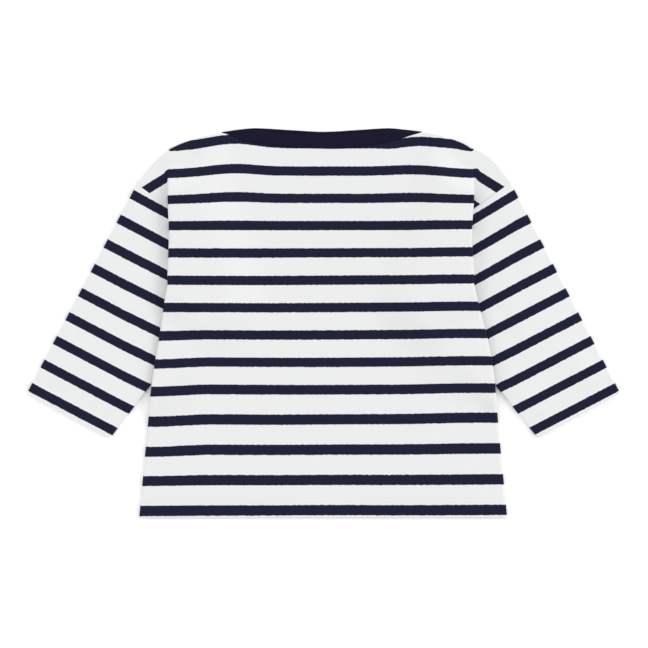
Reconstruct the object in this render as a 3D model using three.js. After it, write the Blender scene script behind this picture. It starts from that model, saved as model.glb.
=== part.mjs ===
// A baby's long-sleeved boat-neck top in striped cotton jersey, laid flat on its back.
// Millimetres. X runs across the chest, Y from the hem to the neck, Z up from the surface.
// The origin is at the middle of the top's outline, on the surface that it lies on.

import * as THREE from 'three';
import { mergeVertices } from 'three/addons/utils/BufferGeometryUtils.js';

// Cloth: two layers make a pair, and each fold turns a whole pair over.
const WALL = 1.1;
const SEAM = 0.3;
const PAIR = 2 * WALL + SEAM;
const STACK = PAIR + SEAM;
const FOLD_RADIUS = STACK / 2;
const MIDDLE = PAIR / 2;
const FRONT_LAYER = { low: SEAM / 2, high: PAIR / 2 };
const BACK_LAYER = { low: -PAIR / 2, high: -SEAM / 2 };

// The body as it lies: the shoulder tucks start at APEX_Y, and the hem is at HEM_Y.
const APEX_Y = 142.9;
const UNDERARM_DOWN = 111.5;
const HEM_Y = -159.4;
const TUCK = THREE.MathUtils.degToRad(16.25);
const EDGE_ROLL = THREE.MathUtils.degToRad(75);

// What differs between the wearer's right side (left here) and the other, as laid.
// foldX is the middle of the tuck's edge. The shoulder's end is out and down from the tuck's
// apex once tucked, and the flare is how far the shoulder's curve starts beyond that line.
const LEFT = {
  way: -1,
  foldX: -125.5,
  shoulderEnd: { out: 27.9, down: 29.1 },
  shoulderFlare: THREE.MathUtils.degToRad(7.7),
  cuffOuter: { x: -243, y: -56.6 },
  cuffInner: { x: -174.8, y: -94 },
};
const RIGHT = {
  way: 1,
  foldX: 120.4,
  shoulderEnd: { out: 32.6, down: 27.9 },
  shoulderFlare: THREE.MathUtils.degToRad(18),
  cuffOuter: { x: 242.8, y: -57.6 },
  cuffInner: { x: 175.2, y: -94.6 },
};

// The side seams below the underarm: the edge's middle on each side, at each height.
const SIDE_SEAMS = [
  { y: 31.4, left: -125.5, right: 120.4 },
  { y: 12, left: -128.9, right: 124.9 },
  { y: -11, left: -132.3, right: 130.9 },
  { y: -34, left: -136.2, right: 135.5 },
  { y: -57, left: -139.4, right: 138.3 },
  { y: -81, left: -141.6, right: 140.1 },
  { y: -159.4, left: -148.9, right: 147.6 },
];

// The shoulder seams from the apex of each tuck to the tips of the neck opening.
const LEFT_SHOULDER = [
  { x: -125.5, y: 142.9 },
  { x: -115.6, y: 148.3 },
  { x: -101.7, y: 151.7 },
  { x: -83.6, y: 156 },
];
const RIGHT_SHOULDER = [
  { x: 80, y: 156.4 },
  { x: 94, y: 152.9 },
  { x: 105.6, y: 149.6 },
  { x: 120.4, y: 142.9 },
];

// The neck opening: where the front is cut, and the top edge of the band at the front and back.
const FRONT_NECKLINE = [
  { x: -83.6, y: 155.9 },
  { x: -78, y: 154.4 },
  { x: -68.9, y: 150 },
  { x: -55.8, y: 147.4 },
  { x: -34.4, y: 144.8 },
  { x: 0, y: 142.8 },
  { x: 21.3, y: 143.2 },
  { x: 41, y: 146 },
  { x: 59, y: 149.9 },
  { x: 74, y: 154.6 },
  { x: 80, y: 156.3 },
];
const BACK_NECKLINE_DIP = 7;
const BAND_TOP = [
  { x: -83.6, y: 156.4 },
  { x: -69, y: 158.5 },
  { x: -55, y: 159.5 },
  { x: -28, y: 158 },
  { x: 0, y: 156.6 },
  { x: 28, y: 158.1 },
  { x: 52.6, y: 159.5 },
  { x: 66, y: 158.4 },
  { x: 80, y: 156.8 },
];
const BAND_WALL = 1.5;
const FRONT_BAND_DROP = 2.6;

// How the upper layers come down beside what lies under them, and how the front ripples.
const COVER = 7;
const SLOPE = 15;
const RIPPLE = 1.1;
const SLEEVE_RIPPLE = 1;
const CUFF_FLARE = 0.5;

// Rows down from the apex, with the shoulder's end, the underarm and the hem among them.
const SHOULDER_ROW = 41.6;
const ROWS_DOWN = [
  0, 3, 8, 14.5, 22, 31, SHOULDER_ROW, 52, 61, 66.8, 77, 88, 100, UNDERARM_DOWN,
  122, 134, 147, 160, 174, 188, 203, 219, 236, 255, 275, APEX_Y - HEM_Y,
];
const TOP_ROWS = 4;
const SHOULDER_COLUMNS = 5;
const NECK_COLUMNS = 18;
const ARC_STEPS = 4;
const WING_STEPS = 3;
const SLEEVE_ROWS = 13;
const SLEEVE_COLUMNS = 9;
const EDGE_STEPS = 4;
const ELBOW_TRIM = 10;

const lerp = THREE.MathUtils.lerp;

// Where the body's columns stand, as shares of its width, with the neck's tips among them.
const [TIP_LEFT, TIP_RIGHT] = [FRONT_NECKLINE[0].x, FRONT_NECKLINE[FRONT_NECKLINE.length - 1].x];
const shareAt = (x) => (x - LEFT.foldX) / (RIGHT.foldX - LEFT.foldX);
const COLUMN_SHARES = [];
for (let k = 0; k < SHOULDER_COLUMNS; k += 1) {
  COLUMN_SHARES.push((shareAt(TIP_LEFT) * k) / SHOULDER_COLUMNS);
}
for (let k = 0; k < NECK_COLUMNS; k += 1) {
  COLUMN_SHARES.push(lerp(shareAt(TIP_LEFT), shareAt(TIP_RIGHT), k / NECK_COLUMNS));
}
for (let k = 0; k <= SHOULDER_COLUMNS; k += 1) {
  COLUMN_SHARES.push(lerp(shareAt(TIP_RIGHT), 1, k / SHOULDER_COLUMNS));
}

function ease(t) {
  const c = THREE.MathUtils.clamp(t, 0, 1);
  return c * c * (3 - 2 * c);
}

function curveThrough(table, from, to, at) {
  let i = 1;
  while (i < table.length - 1 && (at - table[i][from]) * (table[1][from] - table[0][from]) > 0) i += 1;
  const [a, b] = [table[i - 1], table[i]];
  const before = table[Math.max(i - 2, 0)];
  const after = table[Math.min(i + 1, table.length - 1)];
  const span = b[from] - a[from];
  const t = THREE.MathUtils.clamp((at - a[from]) / span, 0, 1);
  const slopeA = ((b[to] - before[to]) / (b[from] - before[from])) * span;
  const slopeB = ((after[to] - a[to]) / (after[from] - a[from])) * span;
  return (
    (2 * t ** 3 - 3 * t ** 2 + 1) * a[to] +
    (t ** 3 - 2 * t ** 2 + t) * slopeA +
    (3 * t ** 2 - 2 * t ** 3) * b[to] +
    (t ** 3 - t ** 2) * slopeB
  );
}

// The tuck at a distance from its apex: how far its two bends turn, the flat run between them
// and how far the sleeve side lies below the body.
function tuckAt(distance) {
  const taken = 2 * TUCK * distance;
  const fullBends = 2 * Math.PI * FOLD_RADIUS;
  if (taken >= fullBends) return { turn: Math.PI, run: (taken - fullBends) / 2, drop: 4 * FOLD_RADIUS, taken };
  let [low, high] = [0, Math.PI];
  for (let i = 0; i < 40; i += 1) {
    const turn = (low + high) / 2;
    if (2 * FOLD_RADIUS * (turn - Math.sin(turn)) < taken) low = turn;
    else high = turn;
  }
  return { turn: low, run: 0, drop: 2 * FOLD_RADIUS * (1 - Math.cos(low)), taken };
}

// Follows the tuck outwards along the cloth from its edge: across, down, and which way is up.
function alongTuck(length, tuck) {
  const bend = FOLD_RADIUS * tuck.turn;
  const [sin, cos] = [Math.sin(tuck.turn), Math.cos(tuck.turn)];
  if (length <= 0) return { across: length, drop: 0, lean: 0 };
  if (length <= bend) {
    const lean = length / FOLD_RADIUS;
    return { across: FOLD_RADIUS * Math.sin(lean), drop: FOLD_RADIUS * (1 - Math.cos(lean)), lean };
  }
  const run = Math.min(length - bend, tuck.run);
  const across = FOLD_RADIUS * sin + run * cos;
  const drop = FOLD_RADIUS * (1 - cos) + run * sin;
  if (length <= bend + tuck.run) return { across, drop, lean: tuck.turn };
  const lean = tuck.turn - (length - bend - tuck.run) / FOLD_RADIUS;
  if (lean > 0) {
    return {
      across: across + FOLD_RADIUS * (sin - Math.sin(lean)),
      drop: drop + FOLD_RADIUS * (Math.cos(lean) - cos),
      lean,
    };
  }
  return { across: length - tuck.taken, drop: tuck.drop, lean: 0 };
}

// The shoulder's end and the underarm in the flat cut, out and down from the tuck's apex.
function flatCut(side) {
  const { out, down } = side.shoulderEnd;
  const reach = Math.hypot(out, down);
  const angle = Math.atan2(out, down) + 2 * TUCK;
  return { reach, angle, out: reach * Math.sin(angle), down: reach * Math.cos(angle) };
}

// How far the body's cloth goes past the tuck's edge, along an arc around the apex.
function clothPastFold(side, distance) {
  const cut = flatCut(side);
  if (distance <= cut.reach + 0.01) {
    const flare = side.shoulderFlare * (1 - Math.min(distance / cut.reach, 1)) ** 1.5;
    return distance * (cut.angle + flare);
  }
  if (distance >= UNDERARM_DOWN) return 0;
  const run = { out: -cut.out, down: UNDERARM_DOWN - cut.down };
  const a = run.out ** 2 + run.down ** 2;
  const b = 2 * (cut.out * run.out + cut.down * run.down);
  const c = cut.out ** 2 + cut.down ** 2 - distance ** 2;
  const t = (-b + Math.sqrt(b * b - 4 * a * c)) / (2 * a);
  return distance * Math.atan2(cut.out + t * run.out, cut.down + t * run.down);
}

// How far from the apex the armhole's cut lies, in the direction of an angle in the flat cut.
function armholeDistance(side, angle) {
  const cut = flatCut(side);
  const run = { out: -cut.out, down: UNDERARM_DOWN - cut.down };
  const away = (cut.out * run.down - cut.down * run.out) / Math.hypot(run.out, run.down);
  return away / Math.cos(angle - Math.atan2(run.down, -run.out));
}

// The lower layers' outlines: the sleeve with its shoulder, and the part that is turned under.
function place(side, out, down) {
  return new THREE.Vector2(side.foldX + side.way * out, APEX_Y - down);
}

function sleeveShape(side) {
  const apex = place(side, 0, 0);
  const underarm = place(side, -UNDERARM_DOWN * Math.sin(2 * TUCK), UNDERARM_DOWN * Math.cos(2 * TUCK));
  const inner = new THREE.Vector2(side.cuffInner.x, side.cuffInner.y);
  const fold = place(side, -Math.sin(TUCK), Math.cos(TUCK)).sub(apex);
  const seam = underarm.clone().sub(inner);
  const along = apex.clone().sub(inner).cross(fold) / seam.cross(fold);
  const elbow = inner.clone().addScaledVector(seam, along);
  const cut = flatCut(side);
  const past = { out: -cut.out, down: UNDERARM_DOWN - cut.down };
  const atFold = (Math.tan(TUCK) * cut.down - cut.out) / (past.out - Math.tan(TUCK) * past.down);
  const seamFlat = { out: cut.out + atFold * past.out, down: cut.down + atFold * past.down };
  return {
    apex,
    underarm: place(side, 0, UNDERARM_DOWN),
    shoulder: place(side, side.shoulderEnd.out, side.shoulderEnd.down),
    seamEnd: place(side, -seamFlat.out, seamFlat.down),
    elbow,
    outer: new THREE.Vector2(side.cuffOuter.x, side.cuffOuter.y),
    inner,
  };
}

function distanceTo(polygon, x, y) {
  let inside = false;
  let best = Infinity;
  for (let i = 0; i < polygon.length; i += 1) {
    const a = polygon[i];
    const b = polygon[(i + 1) % polygon.length];
    const [dx, dy] = [b.x - a.x, b.y - a.y];
    const t = THREE.MathUtils.clamp(((x - a.x) * dx + (y - a.y) * dy) / (dx * dx + dy * dy), 0, 1);
    best = Math.min(best, Math.hypot(x - a.x - t * dx, y - a.y - t * dy));
    if (a.y > y !== b.y > y && x < a.x + ((y - a.y) / dy) * dx) inside = !inside;
  }
  return inside ? 0 : best;
}

for (const side of [LEFT, RIGHT]) {
  const s = sleeveShape(side);
  side.under = [s.apex, s.shoulder, s.outer, s.inner, s.elbow];
  side.turned = [s.apex, s.underarm, s.elbow];
}

// How high the body lies over the sleeves and over the turned part between them.
function lift(x, y) {
  const side = x < (LEFT.foldX + RIGHT.foldX) / 2 ? LEFT : RIGHT;
  const cover = (polygon) => 1 - ease((distanceTo(polygon, x, y) - COVER) / SLOPE);
  const below = STACK * (cover(side.under) + cover(side.turned));
  return Math.min(below, tuckAt(Math.hypot(x - side.foldX, y - APEX_Y)).drop);
}

// Soft swells in the front, none at its edges.
function ripple(x, y, rim) {
  const long = Math.sin(x / 31 + 0.6) * Math.sin(y / 57 + 1.1);
  const slant = Math.sin(x / 46 - y / 38 + 2);
  return RIPPLE * rim * (0.5 + 0.28 * long + 0.22 * slant);
}

// Makes one closed solid from a grid of upper points and one of lower points. Cells that
// have shrunk to nothing are left out.
function closedSlab(upper, lower, wraps = false) {
  const points = [];
  const triangles = [];
  const [rows, columns] = [upper.length, upper[0].length];
  const at = (layer, i, j) => layer * rows * columns + i * columns + (j % columns);
  for (const layer of [upper, lower]) {
    for (const row of layer) points.push(...row);
  }
  const quad = (a, b, c, d) => triangles.push([a, b, c], [a, c, d]);
  const last = wraps ? columns : columns - 1;
  for (let i = 0; i < rows - 1; i += 1) {
    for (let j = 0; j < last; j += 1) {
      quad(at(0, i, j), at(0, i + 1, j), at(0, i + 1, j + 1), at(0, i, j + 1));
      quad(at(1, i, j), at(1, i, j + 1), at(1, i + 1, j + 1), at(1, i + 1, j));
    }
    if (!wraps) {
      quad(at(0, i, 0), at(1, i, 0), at(1, i + 1, 0), at(0, i + 1, 0));
      quad(at(0, i, last), at(0, i + 1, last), at(1, i + 1, last), at(1, i, last));
    }
  }
  for (let j = 0; j < last; j += 1) {
    quad(at(0, 0, j), at(0, 0, j + 1), at(1, 0, j + 1), at(1, 0, j));
    quad(at(0, rows - 1, j), at(1, rows - 1, j), at(1, rows - 1, j + 1), at(0, rows - 1, j + 1));
  }
  const geometry = new THREE.BufferGeometry();
  geometry.setAttribute('position', new THREE.Float32BufferAttribute(points.flatMap((p) => p.toArray()), 3));
  geometry.setIndex(triangles.flat());
  const merged = mergeVertices(geometry, 0.002);
  const index = Array.from(merged.index.array);
  const kept = [];
  for (let i = 0; i < index.length; i += 3) {
    const [a, b, c] = index.slice(i, i + 3);
    if (a !== b && b !== c && c !== a) kept.push(a, b, c);
  }
  merged.setIndex(kept);
  merged.computeVertexNormals();
  return merged;
}

// A panel of the body. neckline(x) is its top edge, and layer its two faces' heights
// from the middle of the pair.
function bodyPanel(neckline, layer, isFront) {
  const foldAt = (side, y) => {
    if (y >= SIDE_SEAMS[0].y) return side.foldX;
    return curveThrough(SIDE_SEAMS, 'y', side === LEFT ? 'left' : 'right', y);
  };
  const reach = (side) => flatCut(side).reach;
  const down = (side, row) => {
    if (row <= SHOULDER_ROW) return (row / SHOULDER_ROW) * reach(side);
    if (row >= UNDERARM_DOWN) return row;
    const t = (row - SHOULDER_ROW) / (UNDERARM_DOWN - SHOULDER_ROW);
    return lerp(reach(side), UNDERARM_DOWN, t);
  };
  const spot = (x, y, height, rim) =>
    new THREE.Vector3(x, y, MIDDLE + lift(x, y) + height + (isFront ? ripple(x, y, rim) : 0));
  const pastFold = (side, i, height) => {
    const distance = down(side, ROWS_DOWN[i]);
    const tuck = tuckAt(Math.min(distance, UNDERARM_DOWN));
    const roll = isFront ? EDGE_ROLL * FOLD_RADIUS * ease(distance / 12) : 0;
    const end = Math.max(clothPastFold(side, distance), roll);
    const bend = FOLD_RADIUS * tuck.turn;
    const stops = [];
    for (let k = 1; k <= ARC_STEPS; k += 1) stops.push((bend * k) / ARC_STEPS);
    for (let k = 0; k <= ARC_STEPS; k += 1) stops.push(bend + tuck.run + (bend * k) / ARC_STEPS);
    const flatFrom = 2 * bend + tuck.run;
    for (let k = 1; k <= WING_STEPS; k += 1) {
      stops.push(flatFrom + (Math.max(end - flatFrom, 0) * k) / WING_STEPS);
    }
    const edgeX = foldAt(side, APEX_Y - distance);
    const raised = lift(edgeX, APEX_Y - distance);
    return stops.map((stop) => {
      const on = alongTuck(Math.min(stop, end), tuck);
      const z = MIDDLE + raised - on.drop + height * Math.cos(on.lean);
      const sideways = height * Math.sin(on.lean);
      if (distance >= UNDERARM_DOWN) {
        return new THREE.Vector3(edgeX + side.way * (on.across + sideways), APEX_Y - distance, z);
      }
      const angle = distance > 0 ? on.across / distance : 0;
      const onWing = stop > flatFrom && end > flatFrom;
      const far = onWing ? Math.min(distance, armholeDistance(side, angle + 2 * TUCK)) : distance;
      const out = far * Math.sin(angle) + sideways * Math.cos(angle);
      const along = far * Math.cos(angle) - sideways * Math.sin(angle);
      const spotOnPlan = place(side, out, along);
      return new THREE.Vector3(spotOnPlan.x, spotOnPlan.y, z);
    });
  };
  const rows = (height) =>
    ROWS_DOWN.map((row, i) => {
      const inner = [];
      for (const t of COLUMN_SHARES) {
        const y = APEX_Y - lerp(down(LEFT, row), down(RIGHT, row), t);
        const x = lerp(foldAt(LEFT, y), foldAt(RIGHT, y), t);
        const share = row / ROWS_DOWN[TOP_ROWS];
        const top = neckline(x);
        const settled = i < TOP_ROWS ? lerp(top, APEX_Y - ROWS_DOWN[TOP_ROWS], share) : y;
        const rim = ease(Math.min(t, 1 - t) * 8) * ease((settled - HEM_Y) / 30) * ease((top - settled) / 25);
        inner.push(spot(x, settled, height, rim));
      }
      return [...pastFold(LEFT, i, height).reverse(), ...inner, ...pastFold(RIGHT, i, height)];
    });
  return closedSlab(rows(layer.high), rows(layer.low));
}

function shoulderLine(x) {
  if (x < 0) return curveThrough(LEFT_SHOULDER, 'x', 'y', x);
  return curveThrough(RIGHT_SHOULDER, 'x', 'y', x);
}

const frontNeckline = (x) => curveThrough(FRONT_NECKLINE, 'x', 'y', x);
const bandTop = (x) => curveThrough(BAND_TOP, 'x', 'y', x);

function backNeckline(x) {
  const t = (x - TIP_LEFT) / (TIP_RIGHT - TIP_LEFT);
  const tips = lerp(frontNeckline(TIP_LEFT), frontNeckline(TIP_RIGHT), t);
  return tips - BACK_NECKLINE_DIP * Math.sqrt(Math.max(1 - (2 * t - 1) ** 4, 0));
}

function topEdge(neckline) {
  return (x) => {
    if (x < TIP_LEFT - SEAM || x > TIP_RIGHT + SEAM) return shoulderLine(x);
    return neckline(THREE.MathUtils.clamp(x, TIP_LEFT, TIP_RIGHT)) - SEAM;
  };
}

// The rib band, a folded strip sewn edge to edge with a neckline.
function neckBand(lowEdge, highEdge, low, high) {
  const rows = (height) =>
    [0, 0.15, 0.5, 0.85, 1].map((share) => {
      const row = [];
      for (let j = 0; j <= NECK_COLUMNS; j += 1) {
        const x = lerp(TIP_LEFT, TIP_RIGHT, j / NECK_COLUMNS);
        const rounding = height > low ? 0.35 * (2 * share - 1) ** 6 : 0;
        row.push(new THREE.Vector3(x, lerp(highEdge(x), lowEdge(x), share), MIDDLE + height - rounding));
      }
      return row;
    });
  return closedSlab(rows(high), rows(low));
}

// A sleeve: one flattened tube, open at the armhole and at the cuff.
function sleeve(side) {
  const shape = sleeveShape(side);
  const seamWay = shape.seamEnd.clone().sub(shape.shoulder).normalize();
  const sleeveWay = shape.outer.clone().sub(shape.shoulder).normalize();
  const clear = sleeveWay.clone().multiplyScalar(SEAM / Math.abs(sleeveWay.cross(seamWay)));
  const start = shape.shoulder.clone().add(clear);
  const startIn = shape.seamEnd.clone().addScaledVector(seamWay, -ELBOW_TRIM).add(clear);
  const elbow = shape.elbow.clone().addScaledVector(seamWay, -ELBOW_TRIM);
  const innerLength = startIn.distanceTo(elbow) + elbow.distanceTo(shape.inner);
  const bendAt = startIn.distanceTo(elbow) / innerLength;
  const innerEdge = (t) => {
    if (t < bendAt) return startIn.clone().lerp(elbow, t / bendAt);
    return elbow.clone().lerp(shape.inner, (t - bendAt) / (1 - bendAt));
  };
  const ring = (t, inset) => {
    const from = start.clone().lerp(shape.outer, t);
    const to = innerEdge(t);
    const across = to.clone().sub(from);
    const width = across.length();
    across.normalize();
    const round = PAIR / 2;
    const radius = round - inset;
    const points = [];
    const add = (along, height) => {
      const p = from.clone().addScaledVector(across, along);
      const clearOfBody = side.way * (p.x - side.foldX) - 0.12 * Math.max(APEX_Y - p.y, 0) - 4;
      const swell = ease(clearOfBody / 20) * ease((along - round) / 14) * ease(t * 6);
      const wave = 0.55 + 0.45 * Math.sin(along / 9 + 7 * t);
      const opened = CUFF_FLARE * ease((t - 0.9) / 0.1) * ease((along - 3) / 10);
      const raised = height > 0 ? SLEEVE_RIPPLE * swell * wave * (1 - ease((t - 0.85) / 0.1)) + opened : 0;
      points.push(new THREE.Vector3(p.x, p.y, MIDDLE + height + raised * ease((width - along - 3) / 10)));
    };
    for (let k = 0; k <= SLEEVE_COLUMNS; k += 1) {
      add(lerp(round, width - round, k / SLEEVE_COLUMNS), radius);
    }
    for (let k = 1; k < EDGE_STEPS; k += 1) {
      const a = (Math.PI * k) / EDGE_STEPS;
      add(width - round + radius * Math.sin(a), radius * Math.cos(a));
    }
    for (let k = SLEEVE_COLUMNS; k >= 0; k -= 1) {
      add(lerp(round, width - round, k / SLEEVE_COLUMNS), -radius);
    }
    for (let k = 1; k < EDGE_STEPS; k += 1) {
      const a = (Math.PI * k) / EDGE_STEPS;
      add(round - radius * Math.sin(a), -radius * Math.cos(a));
    }
    return side.way > 0 ? points.reverse() : points;
  };
  const stations = (inset) => {
    const rings = [];
    for (let i = 0; i <= SLEEVE_ROWS; i += 1) rings.push(ring(i / SLEEVE_ROWS, inset));
    return rings;
  };
  return closedSlab(stations(0), stations(WALL), true);
}

const stripedJersey = { color: 0xeff0f1, roughness: 0.9, metalness: 0 };
const navyRib = { color: 0x1e1a31, roughness: 0.92, metalness: 0 };

const top = new THREE.Group();

function addPiece(name, geometry, look) {
  const mesh = new THREE.Mesh(geometry, new THREE.MeshStandardMaterial(look));
  mesh.name = name;
  top.add(mesh);
}

addPiece('front', bodyPanel(topEdge(frontNeckline), FRONT_LAYER, true), stripedJersey);
addPiece('back', bodyPanel(topEdge(backNeckline), BACK_LAYER, false), stripedJersey);
addPiece('sleeve_left', sleeve(LEFT), stripedJersey);
addPiece('sleeve_right', sleeve(RIGHT), stripedJersey);
addPiece(
  'neck_band_front',
  neckBand(frontNeckline, (x) => lerp(bandTop(x), frontNeckline(x), 0.02) - FRONT_BAND_DROP * bandShare(x),
    FRONT_LAYER.low, FRONT_LAYER.low + BAND_WALL),
  navyRib,
);
addPiece(
  'neck_band_back',
  neckBand(backNeckline, bandTop, BACK_LAYER.low, BACK_LAYER.high),
  navyRib,
);

// The front band's top edge lies below the back one's between the tips.
function bandShare(x) {
  const t = (x - TIP_LEFT) / (TIP_RIGHT - TIP_LEFT);
  return Math.min(4 * Math.min(t, 1 - t), 1);
}

export default top;
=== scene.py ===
import math

import bmesh
import bpy
import numpy as np
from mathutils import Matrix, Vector


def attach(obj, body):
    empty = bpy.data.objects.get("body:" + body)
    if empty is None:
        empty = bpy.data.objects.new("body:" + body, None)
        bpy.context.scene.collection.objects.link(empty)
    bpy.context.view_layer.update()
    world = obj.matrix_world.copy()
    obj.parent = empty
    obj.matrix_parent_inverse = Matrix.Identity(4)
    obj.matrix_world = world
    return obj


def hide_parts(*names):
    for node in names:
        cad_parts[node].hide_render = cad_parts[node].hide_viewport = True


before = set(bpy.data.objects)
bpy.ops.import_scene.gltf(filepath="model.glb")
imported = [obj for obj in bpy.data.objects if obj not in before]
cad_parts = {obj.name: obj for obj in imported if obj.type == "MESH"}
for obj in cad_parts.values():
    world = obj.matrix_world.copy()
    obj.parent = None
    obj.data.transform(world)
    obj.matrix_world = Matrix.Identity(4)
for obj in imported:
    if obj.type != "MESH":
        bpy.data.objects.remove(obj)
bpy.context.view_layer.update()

# The picture: the top lies on a white sheet and is seen from straight above through a long
# lens. A broad even light fills it. Three soft lamps draw the edges: a low one from the right,
# a weaker one from the left, and one from above the neck.
MM = 0.001
PICTURE_WIDTH = 531.4 * MM
PICTURE_MIDDLE = (0.0, -1.0 * MM)
CAMERA_HEIGHT = 3.0
SENSOR = 36.0

camera_data = bpy.data.cameras.new("camera")
camera_data.sensor_width = SENSOR
camera_data.lens = SENSOR * CAMERA_HEIGHT / PICTURE_WIDTH
camera_data.clip_end = 50.0
camera = bpy.data.objects.new("camera", camera_data)
camera.location = (*PICTURE_MIDDLE, CAMERA_HEIGHT)
bpy.context.collection.objects.link(camera)
bpy.context.scene.camera = camera
bpy.context.scene.view_settings.view_transform = "Standard"

SURROUND_STRENGTH = 0.83
world = bpy.data.worlds.new("studio")
world.use_nodes = True
world.node_tree.nodes["Background"].inputs["Color"].default_value = (1.0, 1.0, 1.0, 1.0)
world.node_tree.nodes["Background"].inputs["Strength"].default_value = SURROUND_STRENGTH
bpy.context.scene.world = world

# Each lamp: its name, where it stands, how high, how much of the sheet's light it gives.
LAMPS = (
    ("lamp_right", (1.0, 0.35), math.radians(25), 0.19),
    ("lamp_left", (-1.0, 0.30), math.radians(23), 0.10),
    ("lamp_neck", (0.1, 1.0), math.radians(42), 0.06),
)
LAMP_SPREAD = math.radians(22)
for name, towards, elevation, share in LAMPS:
    lamp_data = bpy.data.lights.new(name, "SUN")
    lamp_data.energy = share * math.pi / math.sin(elevation)
    lamp_data.angle = LAMP_SPREAD
    lamp = bpy.data.objects.new(name, lamp_data)
    height = math.hypot(*towards) * math.tan(elevation)
    lamp.rotation_euler = Vector((*towards, height)).to_track_quat("Z", "Y").to_euler()
    bpy.context.collection.objects.link(lamp)

SHEET_HALF = 6.0
SHEET_BELOW = 0.2 * MM
sheet_mesh = bpy.data.meshes.new("white_sheet")
sheet_mesh.from_pydata(
    [(x * SHEET_HALF, y * SHEET_HALF, -SHEET_BELOW) for x, y in ((-1, -1), (1, -1), (1, 1), (-1, 1))],
    [],
    [(0, 1, 2, 3)],
)
white_sheet = bpy.data.objects.new("white_sheet", sheet_mesh)
bpy.context.collection.objects.link(white_sheet)
white_paper = bpy.data.materials.new("white_paper")
white_paper.use_nodes = True
paper_shader = white_paper.node_tree.nodes["Principled BSDF"]
paper_shader.inputs["Base Color"].default_value = (1.0, 1.0, 1.0, 1.0)
paper_shader.inputs["Roughness"].default_value = 1.0
paper_shader.inputs["Specular IOR Level"].default_value = 0.0
sheet_mesh.materials.append(white_paper)

# The front: one panel of heavy cotton jersey with dropped shoulders and a boat neck. The navy
# stripes are knitted in. It lies on the back, and on each side both are tucked, so that the
# body's edge hides the armhole and the sleeve comes out from under it.
WALL = 1.1
SEAM = 0.3
PAIR = 2 * WALL + SEAM
STACK = PAIR + SEAM
FOLD_RADIUS = STACK / 2
MIDDLE = PAIR / 2
FRONT_LAYER = (SEAM / 2, PAIR / 2)
BACK_LAYER = (-PAIR / 2, -SEAM / 2)

# The tuck's apex lies at the shoulder's end. Down from it, the armhole ends at the underarm.
APEX_Y = 142.9
UNDERARM_DOWN = 111.5
HEM_Y = -159.4
TUCK = math.radians(16.25)
EDGE_ROLL = math.radians(75)
SHOULDER_ROW = 41.6
TOP_ROWS_DOWN = 22.0

# The body lies over the sleeves: how far past them it stays up, and how it slopes down, short
# at its edge and long inside. It is a little fuller over the sleeves' lower parts.
COVER = 7.0
SLOPE_AT_EDGE = 16.0
SLOPE_INSIDE = 42.0
INSIDE_FROM, INSIDE_OVER = -15.0, 45.0
LOFT = 0.9
LOFT_GROWS_OVER = 50.0
LOFT_LOST_INSIDE = 0.6

# Each side, seen from above: which way is out, where the body's edge lies, the shoulder's end,
# out and down from the apex, how far the shoulder flares near the apex, and the cuff's corners.
LEFT = {
    "way": -1,
    "fold_x": -125.5,
    "shoulder_end": (27.9, 29.1),
    "shoulder_flare": math.radians(13),
    "cuff_outer": (-243.0, -56.6),
    "cuff_inner": (-174.8, -94.0),
}
RIGHT = {
    "way": 1,
    "fold_x": 120.4,
    "shoulder_end": (32.6, 27.9),
    "shoulder_flare": math.radians(28),
    "cuff_outer": (242.8, -57.6),
    "cuff_inner": (175.2, -94.6),
}

# The outlines: the side seams below the tucks, the two shoulders and the neckline.
SIDE_SEAM_Y = (31.4, 12, -11, -34, -57, -81, -159.4)
SIDE_SEAM_LEFT = (-125.5, -128.9, -132.3, -136.2, -139.4, -141.6, -148.9)
SIDE_SEAM_RIGHT = (120.4, 124.9, 130.9, 135.5, 138.3, 140.1, 147.6)
LEFT_SHOULDER = ((-125.5, -115.6, -101.7, -83.6), (142.9, 147.3, 151.7, 156.0))
RIGHT_SHOULDER = ((80, 94, 105.6, 114.5, 120.4), (156.4, 153.3, 150.1, 146.6, 142.9))
FRONT_NECKLINE = (
    (-83.6, -78, -68.9, -55.8, -34.4, 0, 21.3, 41, 59, 74, 80),
    (155.9, 154.4, 150, 147.4, 144.8, 142.8, 143.2, 146, 149.9, 154.6, 156.3),
)
TIP_LEFT, TIP_RIGHT = FRONT_NECKLINE[0][0], FRONT_NECKLINE[0][-1]


def ease(t):
    c = np.clip(t, 0.0, 1.0)
    return c * c * (3 - 2 * c)


def curve_through(xs, ys, at):
    """A smooth curve through a short table, at any points."""
    xs, ys = np.asarray(xs, float), np.asarray(ys, float)
    if xs[0] > xs[-1]:
        xs, ys = xs[::-1], ys[::-1]
    at = np.asarray(at, float)
    i = np.clip(np.searchsorted(xs, at), 1, len(xs) - 1)
    a, b = i - 1, i
    before, after = np.maximum(a - 1, 0), np.minimum(b + 1, len(xs) - 1)
    span = xs[b] - xs[a]
    t = np.clip((at - xs[a]) / span, 0, 1)
    slope_a = (ys[b] - ys[before]) / (xs[b] - xs[before]) * span
    slope_b = (ys[after] - ys[a]) / (xs[after] - xs[a]) * span
    return (
        (2 * t**3 - 3 * t**2 + 1) * ys[a]
        + (t**3 - 2 * t**2 + t) * slope_a
        + (3 * t**2 - 2 * t**3) * ys[b]
        + (t**3 - t**2) * slope_b
    )


# The tuck starts softly at its apex, and its bends are a little squarer than half circles.
TURN_STEPS = math.pi * np.linspace(0, 1, 1500) ** 1.5
SQUARENESS = 0.66
SOFT_FROM = 15.0
SOFT_OVER = 50.0


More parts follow.
